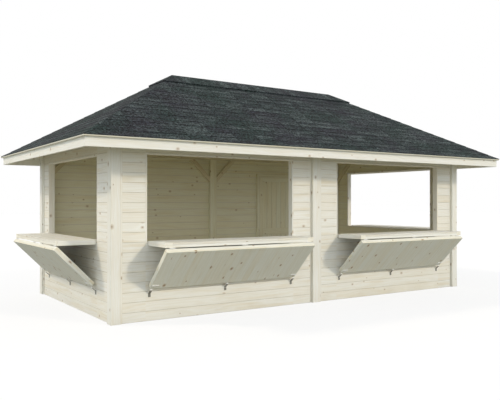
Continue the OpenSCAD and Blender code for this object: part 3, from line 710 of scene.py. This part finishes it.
jambs = Stock(89)
y0, y1, stop_y = FACE_Y - LINING_D + FRAME_OUT, FACE_Y + FRAME_OUT, FACE_Y - DOOR_T - 0.006
x0, x1, top = DOOR_X0 - DOOR_GAP, DOOR_X1 + DOOR_GAP, FRAME_TOP - FRAME_W
jambs.box([[FRAME_X0, y0, 0], [x1, y0, 0]], [[x0, y1, top], [FRAME_X1, y1, top]], run=2)
jambs.box([[FRAME_X0, y0, top]], [[FRAME_X1, y1, FRAME_TOP]], run=0)
jambs.box([[x0, y0, 0], [x1 - DOOR_STOP, y0, 0]],
          [[x0 + DOOR_STOP, stop_y, top], [x1, stop_y, top]], run=2)
jambs.box([[x0 + DOOR_STOP, y0, top - DOOR_STOP]], [[x1 - DOOR_STOP, stop_y, top]], run=0)
jambs.make("door_frame_timbers", ROOM, "door_frame")

leaf = Stock(97)
INFILL_T, INFILL_IN, INFILL_COUNT = 0.020, 0.011, 7
y0, y1 = FACE_Y - DOOR_T, FACE_Y
x0, x1 = DOOR_X0 + STILE, DOOR_X1 - STILE
leaf.box([[DOOR_X0, y0, DOOR_FOOT], [x1, y0, DOOR_FOOT]],
         [[x0, y1, DOOR_TOP], [DOOR_X1, y1, DOOR_TOP]], run=2)
rails = [(DOOR_FOOT, DOOR_FOOT + FOOT_RAIL), (MID_RAIL_Z - MID_RAIL_W, MID_RAIL_Z),
         (DOOR_TOP - STILE, DOOR_TOP)]
leaf.box([[x0, y0 + FIT, a] for a, b in rails], [[x1, y1 - FIT, b] for a, b in rails], run=0)
inner = np.linspace(x0, x1, INFILL_COUNT + 1)
for a, b in ((rails[0][1], rails[1][0]), (rails[1][1], rails[2][0])):
    for near, far in zip(inner[:-1], inner[1:]):
        sec, flags = matched(near, far, INFILL_T, EASE, 0.006)
        foot = np.array([0, FACE_Y - INFILL_IN, a])
        leaf.stick(foot, foot + UP * (b - a), UP, [0, 1, 0], sec, flags, steps=2, bow=BOW)
leaf.make("door_boards_and_rails", ROOM, "door_leaf", body="door")

# ---- hatches ----

HATCHES = [("front_left", "front", -BAY_MID, FRONT_OPEN - 2 * LEAF_GAP),
           ("front_right", "front", BAY_MID, FRONT_OPEN - 2 * LEAF_GAP),
           ("left_end", "left", LEFT_MID, END_OPEN - 2 * LEAF_GAP),
           ("right_end", "right", 0.0, END_OPEN - 2 * LEAF_GAP)]


def hinge_places(mid, width):
    """Where the three hinges of a leaf sit along the wall."""
    return mid + np.array([-width / 2 + HINGE_IN, 0, width / 2 - HINGE_IN])


def leaf_ways(wall):
    """Along the wall, down the sloping leaf, and square out of its outer face."""
    along, out, reach = WALLS[wall]
    c, s = math.cos(PANEL_SLOPE), math.sin(PANEL_SLOPE)
    return along, out * -c + UP * -s, out * s + UP * -c


def counter_leaf(name, wall, mid, width):
    """The flat leaf: matched boards lengthwise between two end clamps, on rails and cross battens."""
    along, out, reach = WALLS[wall]
    stock = Stock(seed_of(name))
    x0, x1 = mid - width / 2, mid + width / 2
    p = on_wall(wall, [x0 + CLAMP_W + 2 * HAIR, x1 - CLAMP_W - 2 * HAIR], 0, 0)
    ends = (p[:1], along), (p[1:], along)
    # rise is up, so across = up × along points inwards and distances out change sign
    cuts = np.linspace(COUNTER_NEAR, COUNTER_FAR, 5)
    for row, (near, far) in enumerate(zip(cuts[:-1], cuts[1:])):
        sec, flags = matched(near, far, DECK_T, 0.0012, 0.005, top=row < 3, foot=row > 0)
        stock.lay(p[:1] + UP * COUNTER_TOP, along, UP, sec * [-1, 1], *ends, flags, steps=4)
    lo, hi = COUNTER_LOW, COUNTER_TOP - DECK_T - SNUG
    near_rail, far_rail = COUNTER_NEAR + 0.016, COUNTER_FAR - 0.060
    for near, far in ((near_rail, near_rail + RAIL_W), (far_rail, COUNTER_FAR)):
        sec, flags = squared(-far, -near, lo, hi, 0.002)
        stock.lay(p[:1], along, UP, sec, *ends, flags, steps=4)
    ribs = np.array([mid - width / 4, mid, mid + width / 4])
    sec, flags = squared(-RAIL_W / 2, RAIL_W / 2, lo + FIT, hi, 0.002)
    p0, p1 = (on_wall(wall, ribs, s, 0) for s in (near_rail + RAIL_W + FIT, far_rail - FIT))
    stock.stick(p0, p1, out, UP, sec, flags)
    sec, flags = squared(-CLAMP_W / 2, CLAMP_W / 2, lo, COUNTER_TOP, 0.002)
    foot, tip = (on_wall(wall, [x0 + CLAMP_W / 2, x1 - CLAMP_W / 2], s, 0)
                 for s in (COUNTER_NEAR, COUNTER_FAR))
    stock.stick(foot, tip, out, UP, sec, flags, steps=2, tone=[0.15, 0.3])
    return stock


def sloping_leaf(name, wall, mid, width):
    """The sloping leaf: matched boards down the slope on its outer face, framed behind by rails."""
    along, down, face = leaf_ways(wall)
    stock = Stock(seed_of(name))
    head = on_wall(wall, mid, FOLD_S, FOLD_Z) + down * FOLD_END
    foot = head + down * PANEL_L
    half, count = width / 2, int(round(width / PANEL_BOARD))
    cuts = np.linspace(-half, half, count + 1)
    handed, inward = np.cross(face, down) @ along, np.cross(face, along) @ down
    for n, (a, b) in enumerate(zip(cuts[:-1], cuts[1:])):
        sec, flags = matched(a, b, SKIN_T, 0.0008, 0.005, top=n < count - 1, foot=n > 0)
        stock.lay(head + face * PANEL_T, down, face, sec * [handed, 1], (head, down), (foot, down), flags,
                  steps=2)
    behind, middle = PANEL_T - SKIN_T - SNUG, PANEL_L / 2
    for a, b in ((0, RAIL_W), (middle - RAIL_W / 2, middle + RAIL_W / 2), (PANEL_L - RAIL_W, PANEL_L)):
        sec, flags = squared(a, b, SNUG, behind, EASE)
        stock.lay(head, along, face, sec * [inward, 1], (head - along * half, along),
                  (head + along * half, along), flags, steps=4)
    for x in (-half + RAIL_W / 2, half - RAIL_W / 2):
        for a, b in ((RAIL_W + FIT, middle - RAIL_W / 2 - FIT),
                     (middle + RAIL_W / 2 + FIT, PANEL_L - RAIL_W - FIT)):
            sec, flags = squared(-RAIL_W / 2, RAIL_W / 2, 2 * HAIR, behind, EASE)
            stock.lay(head + along * x, down, face, sec, (head + down * a, down), (head + down * b, down),
                      flags)
    return stock


def leaf_ironwork(name, wall, mid, width):
    """Hinge plates with their outer knuckles at the fold, and a sliding bolt at each lower corner."""
    along, down, face = leaf_ways(wall)
    stock = Stock(seed_of(name))
    handed, inward = np.cross(face, down) @ along, np.cross(face, along) @ down
    xs = hinge_places(mid, width)
    lows = np.r_[xs - HINGE_L / 2, xs + HINGE_L / 2 - KNUCKLE]
    pins = on_wall(wall, lows, FOLD_S, FOLD_Z)
    stock.rod(pins, along, KNUCKLE, FOLD_R, 14)
    sec, flags = squared(0, KNUCKLE, -HINGE_T, 0, 0.0008)
    stock.stick(pins, pins + down * HINGE_DROP, down, face, sec * [handed, 1], flags)
    stock.heads(pins + along * KNUCKLE / 2 + down * SCREW_DROP - face * HINGE_T, -face, 0.0034, 0.0012)
    base = on_wall(wall, mid, FOLD_S, FOLD_Z) + face * PANEL_T + down * (FOLD_END + PANEL_L - BOLT_UP)
    for side in (-1, 1):
        near = side * (width / 2 - 0.004)
        start = base + along * min(near, near - side * BOLT_L)
        sec, flags = squared(0, BOLT_W, 0, BOLT_PLATE, 0.0008)
        stock.stick(start, start + along * BOLT_L, along, face, sec * [inward, 1], flags)
        axis = start + down * BOLT_W / 2 + face * BOLT_OFF
        stock.rod(axis + along * 0.002, along, BOLT_L - 0.004, BOLT_R)
        sec, flags = squared(-0.007, 0.007, -0.005, 0.0052, 0.0024)
        for place in BOLT_CLIPS:
            stock.lay(axis, along, face, sec, (axis + along * place, along),
                      (axis + along * (place + CLIP_W), along), flags)
        stock.rod(axis + along * (0.030 if side < 0 else 0.058), face, 0.0054, 0.0045)
        marks = start + down * BOLT_W / 2 + face * BOLT_PLATE + along * np.array([0.006, 0.081])[:, None]
        stock.heads(marks, face, 0.0030, 0.0010)
    return stock


for name, wall, mid, width in HATCHES:
    sloping = name + "_sloping_leaf"
    counter_leaf(name + "_counter", wall, mid, width).make(
        name + "_counter_boards", TOPS, name + "_counter", body=name + "_counter_leaf")
    sloping_leaf(name + "_panel", wall, mid, width).make(
        name + "_panel_boards", LEAVES, name + "_panel", body=sloping)
    leaf_ironwork(name + "_ironwork", wall, mid, width).make(
        name + "_hinges_and_bolts", ZINC, name + "_panel_fittings", body=sloping, slot=STEEL)

brackets = Stock(101)
down_z, face_z = leaf_ways("front")[1][2], leaf_ways("front")[2][2]
top = FOLD_Z + (FOLD_END + PANEL_L) * down_z + PANEL_T * face_z - 0.004
low, neck = top - REST_H, top - LIP_H
# a bent flat bar: a foot on the wall, an arm rising outwards and a lip; the bar is painted dark for
# # the shade under the leaf, and the lip is pale as a painted highlight
bent = np.array([[SNUG, low], [SNUG, low + FOOT_H + EASE], [REST_D - REST_T, neck + EASE],
                 [REST_D - REST_T, top], [REST_D, top], [REST_D, neck], [REST_T, low + FOOT_H],
                 [REST_T, low]])
for name, wall, mid, width in HATCHES:
    along, out, reach = WALLS[wall]
    xs = mid + np.array([-width / 2 + REST_IN, 0, width / 2 - REST_IN])
    p0, p1 = on_wall(wall, xs - REST_W / 2, 0, 0), on_wall(wall, xs + REST_W / 2, 0, 0)
    brackets.stick(p0, p1, along, UP, bent * [-1, 1], [0, 0, 0, BEVELLED, BEVELLED, 0, 0, 0])
    for z in (low + 0.010, low + 0.029):
        brackets.heads(on_wall(wall, xs, REST_T, z), out, SCREW_R, 0.0016)
brackets.make("rest_bent_bars", BAR_IN_SHADE, "rest_brackets", slot=STEEL)

# ---- roof ----

SHORT, LONG = HALF_W + EAVE, HALF_L + EAVE     # half the roof's width and length over its eaves
# each slope: the way along its eave, the way out, the level reach to the eave, half the eave's length
SIDES = {"front": (*WALLS["front"][:2], SHORT, LONG), "back": (*WALLS["back"][:2], SHORT, LONG),
         "left": (*WALLS["left"][:2], LONG, SHORT), "right": (*WALLS["right"][:2], LONG, SHORT)}


def slope_axes(side):
    """Along the eave, up the slope, square out of it, and the middle of the eave's outer edge."""
    along, out, reach, half = SIDES[side]
    return along, -out * COS + UP * SIN, out * SIN + UP * COS, out * reach + UP * EDGE_Z


def hips(side):
    """The two upright planes through the hips: x - out = ±(half eave - reach)."""
    along, out, reach, half = SIDES[side]
    return (-along * half + out * reach, along + out), (along * half + out * reach, along - out)


BEHIND_FASCIA, BELOW_RIDGE, NARROWEST = 0.006, 0.018, 0.02
for side in SIDES:
    along, up_slope, square, edge = slope_axes(side)
    stock = Stock(110 + len(side))
    top_n, t = -COVER_V * COS - HAIR, DECK_V * COS - 2 * HAIR
    q, last = (EAVE - FASCIA_U) / COS + BEHIND_FASCIA, SLOPE_L - BELOW_RIDGE
    while q < last - NARROWEST:
        b = min(q + BOARD, last)
        sec, flags = matched(q, b, t, 0.0025, 0.006, top=b < last)
        sec = (sec + [0, top_n]) * [np.cross(square, along) @ up_slope, 1]
        stock.lay(edge, along, square, sec, *hips(side), flags, steps=2)
        q = b
    stock.make("roof_boards_" + side, SHADED, "roof_boarding_" + side)

tail = EAVE - (FASCIA_U - FASCIA_T)     # level, from the covering's edge in to the rafter tails
rafters = Stock(127)
sec, flags = squared(-RAFTER_W / 2, RAFTER_W / 2, -(DECK_LOW + RAFTER_V) * COS, -DECK_LOW * COS - HAIR, EASE)
for side, (along, out, reach, half) in SIDES.items():
    along, up_slope, square, edge = slope_axes(side)
    handed = np.cross(square, up_slope) @ along
    start = (edge - out * tail, out)
    ridge = (out * (reach - EAVE - HALF_W + HIP_W / 2), out)
    count = 3 if half > reach else 1
    for x in np.arange(-count, count + 1) * RAFTER_STEP:
        point, normal = hips(side)[0 if x <= 0 else 1]
        hold = (point + unit(normal) * HIP_W / 2 * (1 if x <= 0 else -1), normal)
        rafters.lay(edge + along * x, up_slope, square, sec * [handed, 1], start, ridge, flags, steps=6,
                    most=hold)
rafters.make("rafter_timbers", SHADED, "rafters")


def bevelled_beam(fall):
    """The section of a ridge or hip beam, its top bevelled to both slopes: it drops by the fall for
    each metre aside from its middle."""
    w, drop, c = HIP_W / 2, HIP_W / 2 * fall, 0.004
    foot = -drop - RAFTER_V
    return np.array([[-w, -drop], [0, 0], [w, -drop], [w, foot + c], [w - c, foot], [-w + c, foot],
                     [-w, foot + c]])[::-1]


hip_beams = Stock(129)
top_z = EDGE_Z + SHORT * TAN - DECK_LOW - HAIR
top = np.array([[-RIDGE_X, 0, top_z], [RIDGE_X, 0, top_z]])
hip_beams.stick(top[:1], top[1:], [1, 0, 0], UP, bevelled_beam(TAN), steps=6)
hip_fall = TAN / math.sqrt(2)
for head, sx in zip(top, (-1, 1)):
    for sy in (-1, 1):
        flat = unit([sx, sy, 0])
        foot = head + flat * ((SHORT - tail) * math.sqrt(2) - HIP_W / 2)
        hip_beams.lay(head, unit(flat - UP * hip_fall), unit(UP + flat * hip_fall),
                      bevelled_beam(hip_fall) * [1, math.cos(math.atan(hip_fall))],
                      (head, flat), (foot, flat), steps=6)
hip_beams.make("hip_and_ridge_timbers", SHADED, "hip_rafters_and_ridge")

shingles = Stock(131)
# the underlay's thickness, the first strip's length, a tab's length in courses, the gap between tabs
SHEET_T, STARTER_L, LAP, SLOT = 0.0022, 0.12, 1.35, 0.006
UNDER, BUTT = -0.0034, -0.0006         # a tab's lower and upper face at its butt, off the slope's plane
low = -COVER_V * COS + SNUG
for side, (along, out, reach, half) in SIDES.items():
    along, up_slope, square, edge = slope_axes(side)
    left_hip, right_hip = hips(side)
    handed = np.cross(square, along) @ up_slope
    top = SLOPE_L + 0.0045
    sheet = np.array([[0.001, low], [top, low], [top, low + SHEET_T], [0.001, low + SHEET_T]])
    shingles.lay(edge, along, square, sheet * [handed, 1], left_hip, right_hip, tone=0.0)
    starter = np.array([[0.0, low + 0.0023], [STARTER_L, low + 0.0023], [STARTER_L, -0.0046], [0.0, -0.0036]])
    shingles.lay(edge, along, square, starter * [handed, 1], left_hip, right_hip, tone=0.4)
    for row in range(int(math.ceil(SLOPE_L / COURSE))):
        q0 = row * COURSE
        q1 = min(q0 + COURSE * LAP, SLOPE_L)
        if q1 - q0 < 0.03:
            continue
        span = half - q0 * COS + 0.05
        first = -span - (row % 3) * TAB / 3 - shingles.rng.uniform(0, 0.03)
        xs = np.arange(first, span + TAB, TAB)
        ones = np.ones(len(xs))
        drop, lift = (shingles.rng.uniform(0, most, len(xs)) for most in (0.003, 0.0005))
        fall = 0.0037 * ((q1 - q0) / COURSE)
        near = q0 + drop if row else q0
        sec = np.stack([np.stack([q * ones, depth * ones], -1) for q, depth in (
            (near, UNDER), (near, BUTT - lift), (q0 + drop + 0.002, -0.0001 - lift),
            (q1, -fall - lift), (q1, max(UNDER - fall, low + 0.0001)))], axis=1)
        p0 = edge + along * (xs + SLOT / 2)[:, None]
        p1 = edge + along * (xs + TAB - SLOT / 2)[:, None]
        shingles.lay(np.broadcast_to(edge, p0.shape), along, square, sec * [handed, 1.0], (p0, along),
                     (p1, along), steps=2, least=left_hip, most=right_hip)
shingles.make("roof_shingle_tabs", FELT, "roof_shingles", slot=SHEET)

cap = Stock(137)
rise_n, beyond = CAP_V * COS, CAP_W + 0.02
for side, (along, out, reach, half) in SIDES.items():
    along, up_slope, square, edge = slope_axes(side)
    stops = {"ridge": (UP * 0, out), "left": hips(side)[0], "right": hips(side)[1]}
    handed = np.cross(square, up_slope) @ along
    foot = edge + up_slope * (SLOPE_L - CAP_W / COS)
    if half > reach:
        marks = np.linspace(-RIDGE_X, RIDGE_X, 13)
        pieces = [(a, b, "ridge") for a, b in zip(marks[:-1], marks[1:])]
        pieces += [(-RIDGE_X - beyond, -RIDGE_X, "left"), (RIDGE_X, RIDGE_X + beyond, "right")]
    else:
        pieces = [(-beyond, 0.0, "left"), (0.0, beyond, "right")]
    for a, b, end in pieces:
        sec = np.array([[a, HAIR], [b, HAIR], [b, rise_n - 0.002], [b - 0.002, rise_n - 0.0006],
                        [a + 0.002, rise_n], [a, rise_n - 0.0015]])
        cap.lay(foot, up_slope, square, sec * [handed, 1], (foot, up_slope), stops[end],
                most=stops["ridge"] if half > reach else None)
cap.make("ridge_cap_felt", FELT, "ridge_cap", slot=SHEET)

fascia, trim = Stock(139), Stock(149)
c, u1 = EASE, FASCIA_U + TRIM_U
z_out = EDGE_Z + (EAVE - FASCIA_U) * TAN - DECK_LOW - FIT
z_top = EDGE_Z + (EAVE - u1) * TAN - COVER_V - FIT
z_in, inner_top, low = z_out + FASCIA_T * TAN, z_top + TRIM_U * TAN, z_top - TRIM_H
for along, out, reach, half in SIDES.values():
    reach_f, reach_t = reach - EAVE + FASCIA_U, reach - EAVE + u1
    sec = np.array([[reach_f - c, FASCIA_Z], [reach_f, FASCIA_Z + c], [reach_f, z_out],
                    [reach_f - FASCIA_T, z_in], [reach_f - FASCIA_T, FASCIA_Z + c],
                    [reach_f - FASCIA_T + c, FASCIA_Z]])
    p = np.array([-1, 1])[:, None] * along * (half - EAVE + FASCIA_U) + out * reach_f
    fascia.lay(UP * 0, along, UP, sec * [-1, 1], (p[:1], along + out), (p[1:], along - out),
               [BEVELLED, 0, 0, 0, BEVELLED, 0], steps=6)
    sec = np.array([[reach_f + HAIR, low], [reach_t - 0.005, low], [reach_t - 0.0015, low + 0.0015],
                    [reach_t, low + 0.005], [reach_t, z_top - 0.001], [reach_t - 0.001, z_top],
                    [reach_f + HAIR, inner_top]])
    p = np.array([-1, 1])[:, None] * along * (half - EAVE + u1) + out * reach_t
    trim.lay(UP * 0, along, UP, sec * [-1, 1], (p[:1], along + out), (p[1:], along - out),
             [0, BEVELLED, BEVELLED, 0, BEVELLED, 0, 0], steps=6)
fascia.make("fascia_timbers", CREAM, "fascia_boards")
trim.make("eave_trim_timbers", DRIP_IN_SHADE, "eave_trim")

# ---- ironwork and the pieces kept as the frame has them ----

for node in ["door_hinge_pins", "door_hinge_straps", "door_handles", "sill_hinges"] + [
        name + "_counter_hinges" for name, wall, mid, width in HATCHES]:
    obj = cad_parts[node]
    obj.data.materials.clear()
    obj.data.materials.append(ZINC)

# ---- floor, light and camera ----

WHITE = (1.0, 1.0, 1.0)


def seen_rays(tree):
    """1 on rays straight from the camera, and 1 on those and on mirrored or refracted ones."""
    seen = part(tree, "LightPath").outputs
    bent = figure(tree, "MAXIMUM", seen["Is Glossy Ray"], seen["Is Transmission Ray"])
    return seen["Is Camera Ray"], figure(tree, "MAXIMUM", seen["Is Camera Ray"], bent)


def plain_floor():
    """A wide level sheet a hair under the stall, near white where the camera sees it, like the sky behind it.
    """
    m = bpy.data.materials.new("studio floor")
    t = blank_tree(m)
    camera_ray, direct = seen_rays(t)
    place = part(t, "SeparateXYZ", Vector=part(t, "TexCoord").outputs["Object"])
    # painted light: under the stall the floor bounces a pale warm yellow up into the room to light it;
    # elsewhere it bounces a dim green grey. The camera sees neither
    room = times(t, figure(t, "LESS_THAN", figure(t, "ABSOLUTE", place.outputs[0]), FACE_X - WALL_T),
                 figure(t, "LESS_THAN", figure(t, "ABSOLUTE", place.outputs[1]), FACE_Y - WALL_T))
    shade = blend_colour(t, room, (0.235, 0.24, 0.20), (0.90, 0.83, 0.62))
    matt = part(t, "BsdfDiffuse", Color=blend_colour(t, camera_ray, shade, (0.9, 0.9, 0.9)))
    white = part(t, "Emission", Color=WHITE, Strength=1.0)
    mix = part(t, "MixShader", i0=times(t, direct, 0.78), i1=matt.outputs[0], i2=white.outputs[0])
    part(t, "OutputMaterial", Surface=mix.outputs[0])
    size, under = 60.0, -0.002
    mesh = bpy.data.meshes.new("studio_floor")
    mesh.from_pydata([(x * size, y * size, under) for x, y in ((-1, -1), (1, -1), (1, 1), (-1, 1))], [],
                     [(0, 1, 2, 3)])
    mesh.materials.append(m)
    place_object("studio_floor", mesh)


def sun(name, towards, strength, spread, colour):
    """A broad soft lamp shining from one direction."""
    lamp = bpy.data.lights.new(name, "SUN")
    lamp.energy, lamp.angle, lamp.color = strength, math.radians(spread), colour
    obj = place_object(name, lamp)
    obj.rotation_mode = "QUATERNION"
    obj.rotation_quaternion = Vector(towards).to_track_quat("Z", "Y")


def sky():
    """A pale dome, fuller near the horizon than overhead, that is plain white where the camera sees it."""
    world = bpy.data.worlds.new("studio sky")
    bpy.context.scene.world = world
    t = blank_tree(world)
    direct = seen_rays(t)[1]
    up = part(t, "SeparateXYZ", Vector=part(t, "TexCoord").outputs["Generated"]).outputs[2]
    glow = part(t, "Background", Color=(0.91, 0.955, 1.0), Strength=between(t, up, 0.0, 1.0, 1.45, 0.62))
    white = part(t, "Background", Color=WHITE, Strength=1.0)
    mix = part(t, "MixShader", i0=direct, i1=glow.outputs[0], i2=white.outputs[0])
    part(t, "OutputWorld", Surface=mix.outputs[0])


def camera():
    """The camera at the measured place: 33.4 degrees round from the front, 1.4 m above the ground."""
    cam = bpy.data.cameras.new("camera")
    cam.lens, cam.sensor_width, cam.clip_end = 44.65, 36.0, 200.0
    obj = place_object("camera", cam)
    obj.location = (-5.540, -8.216, 1.395)
    obj.rotation_euler = (math.radians(90 + 0.203), 0, math.radians(-33.37))
    bpy.context.scene.camera = obj


camera()
plain_floor()
sky()
WARM = (1.0, 0.88, 0.70)
sun("key_right", (0.57, -1.0, 0.62), 1.10, 6, WARM)
sun("key_left", (-1.0, 0.55, 1.05), 1.25, 6, WARM)
bpy.context.scene.view_settings.view_transform = "Standard"
